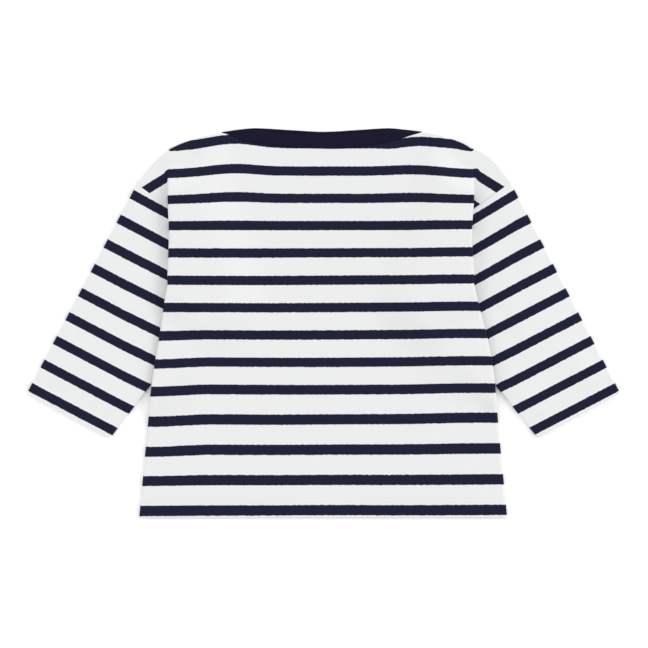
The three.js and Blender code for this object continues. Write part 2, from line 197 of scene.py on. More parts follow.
def tuck_at(distance):
    """How far the tuck's bends turn at a distance from its apex, and the run between them."""
    distance = np.asarray(distance, float)
    taken = 2 * TUCK * distance * ease((distance - SOFT_FROM) / SOFT_OVER)
    turn = np.interp(taken, 2 * FOLD_RADIUS * (TURN_STEPS - np.sin(TURN_STEPS)), TURN_STEPS)
    run = np.maximum(taken - 2 * math.pi * FOLD_RADIUS, 0) / 2
    return {"turn": turn, "run": run, "drop": 2 * FOLD_RADIUS * (1 - np.cos(turn)), "taken": taken}


def along_tuck(length, tuck):
    """Follows the cloth out from the tuck's edge: across, down, and how far it leans over."""
    turn, run = tuck["turn"], tuck["run"]
    bend = FOLD_RADIUS * turn
    first = np.clip(length, 0, bend) / FOLD_RADIUS
    flat = np.clip(length - bend, 0, run)
    last = np.clip(length - bend - run, 0, bend) / FOLD_RADIUS
    across = (
        FOLD_RADIUS * np.sin(first)
        + flat * np.cos(turn)
        + FOLD_RADIUS * (np.sin(turn) - np.sin(turn - last))
        + np.maximum(length - 2 * bend - run, 0)
        + np.minimum(length, 0)
    )
    down = (
        FOLD_RADIUS * (1 - np.cos(first))
        + flat * np.sin(turn)
        + FOLD_RADIUS * (np.cos(turn - last) - np.cos(turn))
    )
    return across, down, first - last


# Past the tuck the cloth ends at the shoulder's line and then at the armhole. Its flare is
# widest at the apex and gone at the shoulder's end.
FLARE_FADE = 1.5
NEARLY = 0.01


def flat_cut(side):
    """The shoulder's end in the flat cut, out and down from the tuck's apex."""
    out, down = side["shoulder_end"]
    reach = math.hypot(out, down)
    angle = math.atan2(out, down) + 2 * TUCK
    return reach, angle, reach * math.sin(angle), reach * math.cos(angle)


def cloth_past_fold(side, distance):
    """How far the body's cloth goes past the tuck's edge, on an arc around the apex."""
    reach, angle, out, down = flat_cut(side)
    flare = side["shoulder_flare"] * (1 - np.minimum(distance / reach, 1)) ** FLARE_FADE
    run_out, run_down = -out, UNDERARM_DOWN - down
    a = run_out**2 + run_down**2
    b = 2 * (out * run_out + down * run_down)
    c = out**2 + down**2 - distance**2
    t = (-b + np.sqrt(np.maximum(b * b - 4 * a * c, 0))) / (2 * a)
    armhole = distance * np.arctan2(out + t * run_out, down + t * run_down)
    past = np.where(distance <= reach + NEARLY, distance * (angle + flare), armhole)
    return np.where(distance >= UNDERARM_DOWN, 0.0, past)


def armhole_distance(side, angle):
    """How far from the apex the armhole's cut lies, in the direction of a flat angle."""
    _, _, out, down = flat_cut(side)
    run_out, run_down = -out, UNDERARM_DOWN - down
    away = (out * run_down - down * run_out) / math.hypot(run_out, run_down)
    return away / np.cos(angle - math.atan2(run_down, -run_out))


def place(side, out, down):
    return np.array([side["fold_x"] + side["way"] * out, APEX_Y - down])


def cross(a, b):
    return a[..., 0] * b[..., 1] - a[..., 1] * b[..., 0]


def sleeve_shape(side):
    """The corners of the sleeve and of what is turned under the body, seen from above."""
    apex = place(side, 0, 0)
    underarm = place(side, -UNDERARM_DOWN * math.sin(2 * TUCK), UNDERARM_DOWN * math.cos(2 * TUCK))
    inner = np.array(side["cuff_inner"])
    fold = place(side, -math.sin(TUCK), math.cos(TUCK)) - apex
    seam = underarm - inner
    elbow = inner + seam * cross(apex - inner, fold) / cross(seam, fold)
    _, _, out, down = flat_cut(side)
    at_fold = (math.tan(TUCK) * down - out) / (-out - math.tan(TUCK) * (UNDERARM_DOWN - down))
    seam_end = place(side, -(out - at_fold * out), down + at_fold * (UNDERARM_DOWN - down))
    return {
        "apex": apex,
        "underarm": place(side, 0, UNDERARM_DOWN),
        "shoulder": place(side, *side["shoulder_end"]),
        "seam_end": seam_end,
        "elbow": elbow,
        "outer": np.array(side["cuff_outer"]),
        "inner": inner,
    }


def distance_to(polygon, x, y):
    """How far points lie outside a polygon."""
    inside = np.zeros(np.shape(x), bool)
    best = np.full(np.shape(x), np.inf)
    for a, b in zip(polygon, polygon[1:] + polygon[:1]):
        dx, dy = b[0] - a[0], b[1] - a[1]
        t = np.clip(((x - a[0]) * dx + (y - a[1]) * dy) / (dx * dx + dy * dy), 0, 1)
        best = np.minimum(best, np.hypot(x - a[0] - t * dx, y - a[1] - t * dy))
        crosses = ((a[1] > y) != (b[1] > y)) & (x < a[0] + (y - a[1]) / (dy or 1e-9) * dx)
        inside ^= crosses
    return np.where(inside, 0.0, best)


for side in (LEFT, RIGHT):
    corner = sleeve_shape(side)
    side["under"] = [corner[k] for k in ("apex", "shoulder", "outer", "inner", "elbow")]
    side["turned"] = [corner[k] for k in ("apex", "underarm", "elbow")]


def lift(x, y):
    """How high the body lies over the sleeves and over what is turned under it."""
    x, y = np.broadcast_arrays(np.asarray(x, float), np.asarray(y, float))
    heights = []
    for side in (LEFT, RIGHT):
        inside = ease((-side["way"] * (x - side["fold_x"]) - INSIDE_FROM) / INSIDE_OVER)
        slope = SLOPE_AT_EDGE + (SLOPE_INSIDE - SLOPE_AT_EDGE) * inside
        cover = [1 - ease((distance_to(side[k], x, y) - COVER) / slope) for k in ("under", "turned")]
        limit = tuck_at(np.hypot(x - side["fold_x"], y - APEX_Y))["drop"]
        loft = LOFT * cover[0] * ease((UNDERARM_DOWN / 2 - y) / LOFT_GROWS_OVER)
        loft = loft * (1 - LOFT_LOST_INSIDE * inside)
        heights.append((cover[0] + cover[1]) / 2 * limit + loft)
    return np.where(x < (LEFT["fold_x"] + RIGHT["fold_x"]) / 2, heights[0], heights[1])


# The stripes on the wing, the cloth between the tuck and the armhole: where the middle of the
# second one lies and how steeply it falls, how far past the tuck's edge the stripes bend into
# that line, and the last stripe that shows.
LEFT["wing_stripe"] = (-127.9, 119.9, 0.62)
RIGHT["wing_stripe"] = (131.2, 117.5, 0.63)
LEFT["stripe_bends"], RIGHT["stripe_bends"] = (0.0, 7.0), (3.6, 8.4)
LEFT["last_number"], RIGHT["last_number"] = 1.75, 3.0

# Each crease: where it starts and ends, how wide it is, and its height or depth. Its line
# bows a little for its length.
CREASE_BOW = 0.048
FRONT_CREASES = [
    {"from": (-96, 118), "to": (-62, 20), "width": 11, "height": 0.16},
    {"from": (92, 112), "to": (70, 30), "width": 12, "height": 0.14},
    {"from": (-30, 128), "to": (-44, 84), "width": 13, "height": -0.14},
    {"from": (34, 130), "to": (46, 92), "width": 12, "height": -0.12},
    {"from": (60, -20), "to": (96, -118), "width": 16, "height": 0.20},
    {"from": (98, -8), "to": (118, -96), "width": 10, "height": -0.16},
    {"from": (-104, -30), "to": (-112, -126), "width": 13, "height": 0.18},
    {"from": (-20, -60), "to": (-36, -140), "width": 18, "height": 0.16},
    {"from": (10, 40), "to": (24, -30), "width": 20, "height": 0.12},
]
CREASE_TAPER = 0.4
SWELL = 0.55
LOWEST_RIPPLE = 0.02


def creases(table, x, y):
    """Soft ridges and troughs, each tapering towards its ends."""
    total = np.zeros(np.shape(x))
    for crease in table:
        a, b = np.array(crease["from"], float), np.array(crease["to"], float)
        way = b - a
        along = ((x - a[0]) * way[0] + (y - a[1]) * way[1]) / (way @ way)
        bow = CREASE_BOW * math.sqrt(way @ way) * np.sin(np.clip(along, 0, 1) * math.pi)
        off = ((x - a[0]) * way[1] - (y - a[1]) * way[0]) / math.sqrt(way @ way) - bow
        taper = ease(along / CREASE_TAPER) * ease((1 - along) / CREASE_TAPER)
        total += crease["height"] * taper * np.exp(-((off / crease["width"]) ** 2))
    return total


def ripple(x, y, rim):
    """The front's low broad waves and its creases, fading out towards its rim."""
    swell = 0.5 + 0.28 * np.sin(x / 31 + 0.6) * np.sin(y / 57 + 1.1) + 0.22 * np.sin(x / 46 - y / 38 + 2)
    return rim * np.maximum(SWELL * swell + creases(FRONT_CREASES, x, y), LOWEST_RIPPLE)


# The stripes: navy on white, one to two, a little wider apart towards the hem. The knit is
# pulled up beside the neck and down at the shoulders.
STRIPE_PITCH = 22.35
STRIPE_PITCH_LOW = 24.9
FIRST_STRIPE_Y = 146.3
LOW_FROM_STRIPE = 9


def stripe_number(y):
    """Which stripe a height on the body belongs to, with whole numbers at their middles."""
    number = (FIRST_STRIPE_Y - y) / STRIPE_PITCH
    past = np.maximum(number - LOW_FROM_STRIPE, 0)
    return number - past * (1 - STRIPE_PITCH / STRIPE_PITCH_LOW)


def stripe_pull(x, y):
    """How far the knit's rows lie above a straight line. Each term is one soft pull."""
    near_neck = ease((y - 70) / 60)
    at_top = ease((y - 130) / 14)
    sides = (np.abs(x + 1.5) / 124) ** 2
    beside_neck = np.exp(-(((np.abs(x + 0.5) - 74) / 26) ** 2))
    lifted = np.where(x < 0, 2.8, 1.9)
    right_tip = 1.25 * ease((x - 60) / 24) - np.exp(-(((x - 55) / 10) ** 2))
    right_tip = right_tip - 1.9 * ease((x - 104) / 22)
    top_stripe = at_top * np.where(x < 0, 1.8 * beside_neck, right_tip)
    left_end = -1.9 * ease((-x - 90) / 50) * ease((20 - y) / 50) * ease((y + 150) / 60)
    right_end = 0.8 * ease((x - 60) / 60) * (1 - near_neck) * ease((y + 130) / 60)
    low_right = 0.75 * ease((x + 60) / 90) * ease((-40 - y) / 50)
    slack = 0.3 * np.sin(x / 42 + y / 60 - 0.6) * ease((90 - y) / 60)
    top = near_neck * (lifted * beside_neck - 2.3 * sides) + top_stripe
    return 0.35 + top + left_end + right_end + low_right + slack


def down_from_apex(side, row):
    """How far from the apex a row lies on one side, where the two shoulders differ."""
    reach = flat_cut(side)[0]
    upper = row / SHOULDER_ROW * reach
    t = (row - SHOULDER_ROW) / (UNDERARM_DOWN - SHOULDER_ROW)
    middle = reach + t * (UNDERARM_DOWN - reach)
    return np.where(row <= SHOULDER_ROW, upper, np.where(row >= UNDERARM_DOWN, row, middle))


def fold_at(side, y):
    """Where the body's edge lies: at the tuck, and below it at the side seam."""
    seam = SIDE_SEAM_LEFT if side is LEFT else SIDE_SEAM_RIGHT
    return np.where(y >= SIDE_SEAM_Y[0], side["fold_x"], curve_through(SIDE_SEAM_Y, seam, y))


def shoulder_line(x):
    return np.where(x < 0, curve_through(*LEFT_SHOULDER, x), curve_through(*RIGHT_SHOULDER, x))


def front_neckline(x):
    return curve_through(*FRONT_NECKLINE, np.clip(x, TIP_LEFT, TIP_RIGHT))


def top_edge(neckline, x):
    beside = (x < TIP_LEFT - SEAM) | (x > TIP_RIGHT + SEAM)
    return np.where(beside, shoulder_line(x), neckline(x) - SEAM)


def wing_number(side, x, y):
    """The stripe number on the cloth between the tuck and the armhole, seen from above."""
    middle_x, middle_y, fall = side["wing_stripe"]
    line = middle_y - fall * side["way"] * (x - middle_x)
    number = 1 + (line - y) / math.hypot(1, fall) / STRIPE_PITCH
    return np.minimum(number, side["last_number"])


# The front's edge rolls over the tuck, and the bends get squarer, both some way down from the
# apex.
ROLL_STARTS_OVER = 12.0
SQUARE_FROM, SQUARE_OVER = 30.0, 20.0
TINY = 1e-6


def stops_past_fold(tuck, full_end, steps):
    """How far along the cloth its columns lie: first bend, run, second bend and wing."""
    bend = FOLD_RADIUS * tuck["turn"]
    arc, run, wing = (np.arange(1, steps[k] + 1)[None, :] / steps[k] for k in ("arc", "run", "wing"))
    flat_from = 2 * bend + tuck["run"]
    return np.concatenate(
        [
            bend * arc,
            bend + tuck["run"] * run,
            bend + tuck["run"] + bend * arc,
            flat_from + np.maximum(full_end - flat_from, 0) * wing,
        ],
        axis=1,
    )


def past_fold(side, rows, height, rolled, steps):
    """The points of the cloth past the tuck's edge, their place in the cut, and the stripes."""
    distance = down_from_apex(side, rows)[:, None]
    tuck = tuck_at(np.minimum(distance, UNDERARM_DOWN))
    roll = EDGE_ROLL * FOLD_RADIUS * ease(distance / ROLL_STARTS_OVER) if rolled else 0.0
    past = cloth_past_fold(side, distance)
    spared = 2 * TUCK * np.minimum(distance, UNDERARM_DOWN) - tuck["taken"]
    end = np.maximum(past - spared, roll)
    reach, shoulder_angle, _, _ = flat_cut(side)
    full_end = np.where(distance > reach, distance * shoulder_angle - spared, end)
    bend = FOLD_RADIUS * tuck["turn"]
    flat_from = 2 * bend + tuck["run"]
    stops = stops_past_fold(tuck, full_end, steps)
    stop = np.minimum(stops, end)
    across, down, lean = along_tuck(stop, tuck)
    edge_x = fold_at(side, APEX_Y - distance)
    z = MIDDLE + lift(edge_x, APEX_Y - distance) - down + height * np.cos(lean)
    sideways = height * np.sin(lean)
    squared = (FOLD_RADIUS + height) * ease((distance - SQUARE_FROM) / SQUARE_OVER) * (stop < bend)
    turned = np.clip(stop / FOLD_RADIUS, 0, math.pi)
    across = across + squared * (np.sin(turned) ** SQUARENESS - np.sin(turned))
    z = z + squared * (np.sign(np.cos(turned)) * np.abs(np.cos(turned)) ** SQUARENESS - np.cos(turned))
    safe = np.maximum(distance, TINY)
    angle = np.where(distance > 0, across / safe, 0)
    on_wing = (stops > flat_from) & (end > flat_from)
    far = np.where(on_wing, np.minimum(distance, armhole_distance(side, angle + 2 * TUCK)), distance)
    out = far * np.sin(angle) + sideways * np.cos(angle)
    along = far * np.cos(angle) - sideways * np.sin(angle)
    below = distance >= UNDERARM_DOWN
    out = np.where(below, across + sideways, out)
    along = np.where(below, distance, along)
    x = np.where(below, edge_x, side["fold_x"]) + side["way"] * out
    whole = np.maximum(past, end) / np.maximum(end, TINY)
    flat_angle = np.where(distance > 0, stop * whole / safe, 0)
    cut_out = np.where(below, stop, far * np.sin(flat_angle))
    cut_y = APEX_Y - np.where(below, distance, far * np.cos(flat_angle))
    cut_x = np.where(below, edge_x, side["fold_x"]) + side["way"] * cut_out
    points = np.stack([x, APEX_Y - along, z], axis=-1)
    at_edge = stripe_number(APEX_Y - distance - stripe_pull(edge_x, APEX_Y - distance))
    bends_from, bends_to = side["stripe_bends"]
    on_its_way = ease((stop - bends_from) / (np.maximum(flat_from, bends_to) - bends_from))
    on_its_way = on_its_way * (distance < UNDERARM_DOWN)
    number = at_edge * (1 - on_its_way) + wing_number(side, points[..., 0], points[..., 1]) * on_its_way
    return points, np.stack([cut_x, cut_y], axis=-1), number


# The tuck's edge isn't quite straight: how far it comes in, and at which heights.
LEFT["edge_in"], RIGHT["edge_in"] = 1.1, 1.9
EDGE_IN_Y, EDGE_IN_REACH = 72.0, 34.0
EDGE_IN_WIDTH = 22.0


def edge_drift(points):
    """Moves the cloth near the tuck's edge in with it."""
    for side in (LEFT, RIGHT):
        height_share = np.clip(1 - ((points[..., 1] - EDGE_IN_Y) / EDGE_IN_REACH) ** 2, 0, 1) ** 2
        near = np.exp(-(((points[..., 0] - side["fold_x"]) / EDGE_IN_WIDTH) ** 2))
        points[..., 0] -= side["way"] * side["edge_in"] * height_share * near
    return points


# How far in from its rims the front lies without ripples: the share of its width, and at the
# hem and the neck.
RIM_SHARE = 1 / 8
RIM_AT_HEM = 30.0
RIM_AT_NECK = 25.0


def surface_height(neckline, x, y, height, is_front):
    """The height of one face of a body panel between the tucks."""
    fold_left, fold_right = fold_at(LEFT, y), fold_at(RIGHT, y)
    share = (x - fold_left) / (fold_right - fold_left)
    top = top_edge(neckline, x)
    rim = ease(np.minimum(share, 1 - share) / RIM_SHARE)
    rim = rim * ease((y - HEM_Y) / RIM_AT_HEM) * ease((top - y) / RIM_AT_NECK)
    return MIDDLE + lift(x, y) + height + (ripple(x, y, rim) if is_front else 0)


def body_grid(neckline, height, rows, shares, is_front, steps):
    """Points of one face of a body panel, row by row from the shoulders to the hem."""
    y = APEX_Y - (
        down_from_apex(LEFT, rows)[:, None] * (1 - shares) + down_from_apex(RIGHT, rows)[:, None] * shares
    )
    x = fold_at(LEFT, y) * (1 - shares) + fold_at(RIGHT, y) * shares
    top = top_edge(neckline, x)
    share = np.clip(rows / TOP_ROWS_DOWN, 0, 1)[:, None]
    y = np.where(share < 1, top + (APEX_Y - TOP_ROWS_DOWN - top) * share, y)
    z = surface_height(neckline, x, y, height, is_front)
    inner, inner_cut = np.stack([x, y, z], axis=-1), np.stack([x, y], axis=-1)
    number = stripe_number(y - stripe_pull(x, y))
    left, left_cut, left_number = past_fold(LEFT, rows, height, is_front, steps)
    right, right_cut, right_number = past_fold(RIGHT, rows, height, is_front, steps)
    points = np.concatenate([left[:, ::-1], inner, right], axis=1)
    cut = np.concatenate([left_cut[:, ::-1], inner_cut, right_cut], axis=1)
    points = edge_drift(points)
    return points, cut, np.concatenate([left_number[:, ::-1], number, right_number], axis=1)


def closed_faces(rows, columns, wraps=False):
    """The quads of a closed wall: an upper grid, a lower grid and the rims between them."""
    faces = []
    at = lambda layer, i, j: layer * rows * columns + i * columns + j % columns
    last = columns if wraps else columns - 1
    for i in range(rows - 1):
        for j in range(last):
            faces.append((at(0, i, j), at(0, i + 1, j), at(0, i + 1, j + 1), at(0, i, j + 1)))
            faces.append((at(1, i, j), at(1, i, j + 1), at(1, i + 1, j + 1), at(1, i + 1, j)))
        if not wraps:
            faces.append((at(0, i, 0), at(1, i, 0), at(1, i + 1, 0), at(0, i + 1, 0)))
            faces.append((at(0, i, last), at(0, i + 1, last), at(1, i + 1, last), at(1, i, last)))
    for j in range(last):
        faces.append((at(0, 0, j), at(0, 0, j + 1), at(1, 0, j + 1), at(1, 0, j)))
        low, high = at(0, rows - 1, j), at(1, rows - 1, j)
        faces.append((low, high, at(1, rows - 1, j + 1), at(0, rows - 1, j + 1)))
    return faces


WELD = 0.002 * MM
SHARP_EDGE = math.radians(50)


def cloth_piece(name, upper, lower, cut, stripes, material, wraps=False):
    """A closed wall of cloth as a mesh object, with its cut as a UV map and its stripes."""
    rows, columns = upper.shape[:2]
    points = np.concatenate([upper.reshape(-1, 3), lower.reshape(-1, 3)]) * MM
    mesh = bpy.data.meshes.new(name)
    mesh.from_pydata(points.tolist(), [], closed_faces(rows, columns, wraps))
    number = mesh.attributes.new("stripe", "FLOAT", "POINT")
    number.data.foreach_set("value", np.concatenate([stripes.ravel()] * 2).astype(np.float32))
    loops = np.zeros(len(mesh.loops), np.int32)
    mesh.loops.foreach_get("vertex_index", loops)
    flat = np.concatenate([cut.reshape(-1, 2)] * 2) * MM
    uv = mesh.uv_layers.new(name="cut")
    uv.data.foreach_set("uv", flat[loops].ravel().astype(np.float32))
    work = bmesh.new()
    work.from_mesh(mesh)
    bmesh.ops.remove_doubles(work, verts=work.verts, dist=WELD)
    bmesh.ops.dissolve_degenerate(work, edges=work.edges, dist=WELD)
    work.to_mesh(mesh)
    work.free()
    mesh.polygons.foreach_set("use_smooth", np.ones(len(mesh.polygons), bool))
    mesh.set_sharp_from_angle(angle=SHARP_EDGE)
    mesh.materials.append(material)
    piece = bpy.data.objects.new(name, mesh)
    bpy.context.collection.objects.link(piece)
    return piece


def new_socket(group, name, way, kind, value=None):
    socket = group.interface.new_socket(name=name, in_out=way, socket_type=kind)
    if value is not None:
        socket.default_value = value
    return socket


def math_node(nodes, links, operation, *values):
    node = nodes.new("ShaderNodeMath")
    node.operation = operation
    for socket, value in zip(node.inputs, values):
        if hasattr(value, "is_output"):
            links.new(value, socket)
        else:
            socket.default_value = value
    return node.outputs["Value"]


# Plain knit: upright columns of V-shaped loops, with a little unevenness in the yarn.
JERSEY_LOOPS, JERSEY_ROWS = 900.0, 1150.0
LOOP_SLANT = 1.1
LOOP_HEIGHT = 0.35
KNIT_SHARE = 0.4
YARN_UNEVENNESS = 0.35
jersey_knit = bpy.data.node_groups.new("jersey_knit", "ShaderNodeTree")
new_socket(jersey_knit, "Loops per metre", "INPUT", "NodeSocketFloat", JERSEY_LOOPS)
new_socket(jersey_knit, "Rows per metre", "INPUT", "NodeSocketFloat", JERSEY_ROWS)
new_socket(jersey_knit, "Unevenness", "INPUT", "NodeSocketFloat", YARN_UNEVENNESS)
new_socket(jersey_knit, "Relief", "OUTPUT", "NodeSocketFloat")
new_socket(jersey_knit, "Fleck", "OUTPUT", "NodeSocketFloat")
nodes, links = jersey_knit.nodes, jersey_knit.links
given = nodes.new("NodeGroupInput")
cut_map = nodes.new("ShaderNodeUVMap")
cut_map.uv_map = "cut"
parts = nodes.new("ShaderNodeSeparateXYZ")
links.new(cut_map.outputs["UV"], parts.inputs["Vector"])
across = math_node(nodes, links, "MULTIPLY", parts.outputs["X"], given.outputs["Loops per metre"])
along = math_node(nodes, links, "MULTIPLY", parts.outputs["Y"], given.outputs["Rows per metre"])
wale = math_node(nodes, links, "PINGPONG", across, 0.5)
slant = math_node(nodes, links, "ADD", along, math_node(nodes, links, "MULTIPLY", wale, LOOP_SLANT))
loop = math_node(nodes, links, "SINE", math_node(nodes, links, "MULTIPLY", slant, 2 * math.pi))
groove = math_node(nodes, links, "SINE", math_node(nodes, links, "MULTIPLY", wale, 2 * math.pi))
relief = math_node(nodes, links, "ADD", math_node(nodes, links, "MULTIPLY", loop, LOOP_HEIGHT), groove)
yarn = nodes.new("ShaderNodeTexNoise")
yarn.inputs["Scale"].default_value = 420.0
yarn.inputs["Detail"].default_value = 3.0
links.new(cut_map.outputs["UV"], yarn.inputs["Vector"])
uneven = math_node(nodes, links, "MULTIPLY", yarn.outputs["Fac"], given.outputs["Unevenness"])
total = math_node(nodes, links, "ADD", math_node(nodes, links, "MULTIPLY", relief, KNIT_SHARE), uneven)
result = nodes.new("NodeGroupOutput")
links.new(total, result.inputs["Relief"])
links.new(yarn.outputs["Fac"], result.inputs["Fleck"])

# Broad patches where the cloth is a little fuller or flatter, as jersey is after washing.
washed_cloth = bpy.data.node_groups.new("washed_cloth", "ShaderNodeTree")
new_socket(washed_cloth, "Patch size", "INPUT", "NodeSocketFloat", 26.0)
new_socket(washed_cloth, "Tone", "OUTPUT", "NodeSocketFloat")
nodes, links = washed_cloth.nodes, washed_cloth.links
given = nodes.new("NodeGroupInput")
where = nodes.new("ShaderNodeTexCoord")
patches = nodes.new("ShaderNodeTexNoise")
patches.inputs["Detail"].default_value = 4.0
patches.inputs["Roughness"].default_value = 0.6
links.new(where.outputs["Object"], patches.inputs["Vector"])
links.new(given.outputs["Patch size"], patches.inputs["Scale"])
result = nodes.new("NodeGroupOutput")
links.new(patches.outputs["Fac"], result.inputs["Tone"])

# The striped jersey: which share of the pitch is navy, how soft the stripes' edges are, and
# how far the knit makes them uneven.
WHITE_YARN = (0.738, 0.742, 0.746)
NAVY_YARN = (0.0068, 0.0086, 0.0275)
STRIPE_SHARE = 0.345
STRIPE_SOFTNESS = 0.012
STRIPE_UNEVENNESS = 0.05
BUMP_DEPTH = 0.4 * MM
JERSEY_RELIEF = 0.35


def mix_colour(nodes, links, share, first, second):
    node = nodes.new("ShaderNodeMix")
    node.data_type = "RGBA"
    if hasattr(share, "is_output"):
        links.new(share, node.inputs["Factor"])
    else:
        node.inputs["Factor"].default_value = share
    for socket, colour in (("A", first), ("B", second)):
        target = next(i for i in node.inputs if i.name == socket and i.type == "RGBA")
        if hasattr(colour, "is_output"):
            links.new(colour, target)
        else:
            target.default_value = (*colour, 1.0)
    return next(o for o in node.outputs if o.type == "RGBA")


def add_knit(material, strength, loops, rows):
    """Puts the knit's relief on a material and returns the knit's fleck."""
    nodes, links = material.node_tree.nodes, material.node_tree.links
    knit = nodes.new("ShaderNodeGroup")
    knit.node_tree = jersey_knit
    knit.inputs["Loops per metre"].default_value = loops
    knit.inputs["Rows per metre"].default_value = rows
    bump = nodes.new("ShaderNodeBump")
    bump.inputs["Strength"].default_value = strength
    bump.inputs["Distance"].default_value = BUMP_DEPTH
    links.new(knit.outputs["Relief"], bump.inputs["Height"])
    links.new(bump.outputs["Normal"], nodes["Principled BSDF"].inputs["Normal"])
    return knit.outputs["Fleck"]


striped_jersey = bpy.data.materials.new("striped_jersey")
striped_jersey.use_nodes = True
nodes, links = striped_jersey.node_tree.nodes, striped_jersey.node_tree.links
shader = nodes["Principled BSDF"]
shader.inputs["Roughness"].default_value = 0.9
shader.inputs["Specular IOR Level"].default_value = 0.15
shader.inputs["Sheen Weight"].default_value = 0.06
shader.inputs["Sheen Roughness"].default_value = 0.5
fleck = add_knit(striped_jersey, JERSEY_RELIEF, JERSEY_LOOPS, JERSEY_ROWS)
stripe = nodes.new("ShaderNodeAttribute")
stripe.attribute_name = "stripe"
off_middle = math_node(nodes, links, "SUBTRACT", fleck, 0.5)
jitter = math_node(nodes, links, "MULTIPLY", off_middle, STRIPE_UNEVENNESS)
number = math_node(nodes, links, "ADD", stripe.outputs["Fac"], jitter)
from_middle = math_node(nodes, links, "PINGPONG", number, 0.5)
edge = nodes.new("ShaderNodeMapRange")
edge.interpolation_type = "SMOOTHSTEP"
edge.inputs["From Min"].default_value = STRIPE_SHARE / 2 + STRIPE_SOFTNESS
edge.inputs["From Max"].default_value = STRIPE_SHARE / 2 - STRIPE_SOFTNESS
links.new(from_middle, edge.inputs["Value"])
washed = nodes.new("ShaderNodeGroup")
washed.node_tree = washed_cloth
white = mix_colour(nodes, links, washed.outputs["Tone"], [c * 0.985 for c in WHITE_YARN], WHITE_YARN)
navy = mix_colour(nodes, links, fleck, [c * 0.8 for c in NAVY_YARN], [c * 1.2 for c in NAVY_YARN])
links.new(mix_colour(nodes, links, edge.outputs["Result"], white, navy), shader.inputs["Base Color"])

# The mesh of the front: its columns between the tucks, closer at the neck, and its rows.
FINE_STEPS = {"arc": 8, "run": 5, "wing": 22}
tip_shares = [(x - LEFT["fold_x"]) / (RIGHT["fold_x"] - LEFT["fold_x"]) for x in (TIP_LEFT, TIP_RIGHT)]
front_shares = np.concatenate(
    [
        np.linspace(0, tip_shares[0], 18)[:-1],
        np.linspace(tip_shares[0], tip_shares[1], 76)[:-1],
        np.linspace(tip_shares[1], 1, 18),
    ]
)
HEM_DOWN = APEX_Y - HEM_Y
front_rows = np.concatenate(
    [
        np.linspace(0, SHOULDER_ROW, 22)[:-1],
        np.linspace(SHOULDER_ROW, UNDERARM_DOWN, 34)[:-1],
        np.linspace(UNDERARM_DOWN, HEM_DOWN, 88),
    ]
)


# The sewing: a twin row of white stitches holds up the hem, and another each cuff.
STITCH_PITCH = 2.7 * MM
STITCH_LENGTH = 2.2 * MM
THREAD_WIDTH = 0.4 * MM
HEM_STITCHES_UP = (13.0, 16.0)
HEM_STITCHES_IN = 1.0
HEM_PATH_POINTS = 200
THREAD_PATCHES = 900.0
stitch_row = bpy.data.node_groups.new("stitch_row", "GeometryNodeTree")
new_socket(stitch_row, "Path", "INPUT", "NodeSocketGeometry")
new_socket(stitch_row, "Pitch", "INPUT", "NodeSocketFloat", STITCH_PITCH)
new_socket(stitch_row, "Stitch length", "INPUT", "NodeSocketFloat", STITCH_LENGTH)
new_socket(stitch_row, "Thread width", "INPUT", "NodeSocketFloat", THREAD_WIDTH)
new_socket(stitch_row, "Thread", "INPUT", "NodeSocketMaterial")
new_socket(stitch_row, "Stitches", "OUTPUT", "NodeSocketGeometry")
nodes, links = stitch_row.nodes, stitch_row.links
given = nodes.new("NodeGroupInput")
line = nodes.new("GeometryNodeMeshToCurve")
spots = nodes.new("GeometryNodeCurveToPoints")
spots.mode = "LENGTH"
along_line = nodes.new("FunctionNodeAlignRotationToVector")
along_line.axis = "X"
size = nodes.new("ShaderNodeCombineXYZ")
thread = nodes.new("GeometryNodeMeshIcoSphere")
thread.inputs["Radius"].default_value = 0.5
thread.inputs["Subdivisions"].default_value = 2
sewn = nodes.new("GeometryNodeInstanceOnPoints")
real = nodes.new("GeometryNodeRealizeInstances")
smooth = nodes.new("GeometryNodeSetShadeSmooth")
dressed = nodes.new("GeometryNodeSetMaterial")
result = nodes.new("NodeGroupOutput")
links.new(given.outputs["Path"], line.inputs["Mesh"])
links.new(line.outputs["Curve"], spots.inputs["Curve"])
links.new(given.outputs["Pitch"], spots.inputs["Length"])
links.new(spots.outputs["Tangent"], along_line.inputs["Vector"])
links.new(given.outputs["Stitch length"], size.inputs["X"])
links.new(given.outputs["Thread width"], size.inputs["Y"])
links.new(given.outputs["Thread width"], size.inputs["Z"])
links.new(spots.outputs["Points"], sewn.inputs["Points"])
links.new(thread.outputs["Mesh"], sewn.inputs["Instance"])
links.new(along_line.outputs["Rotation"], sewn.inputs["Rotation"])
links.new(size.outputs["Vector"], sewn.inputs["Scale"])
links.new(sewn.outputs["Instances"], smooth.inputs["Geometry"])
links.new(smooth.outputs["Geometry"], real.inputs["Geometry"])
links.new(real.outputs["Geometry"], dressed.inputs["Geometry"])
links.new(given.outputs["Thread"], dressed.inputs["Material"])
links.new(dressed.outputs["Geometry"], result.inputs["Stitches"])

white_thread = bpy.data.materials.new("white_thread")
white_thread.use_nodes = True
nodes, links = white_thread.node_tree.nodes, white_thread.node_tree.links
shader = nodes["Principled BSDF"]
shader.inputs["Roughness"].default_value = 0.75
shader.inputs["Sheen Weight"].default_value = 0.05
washed = nodes.new("ShaderNodeGroup")
washed.node_tree = washed_cloth
washed.inputs["Patch size"].default_value = THREAD_PATCHES
tone = mix_colour(nodes, links, washed.outputs["Tone"], [c * 0.97 for c in WHITE_YARN], WHITE_YARN)
links.new(tone, shader.inputs["Base Color"])


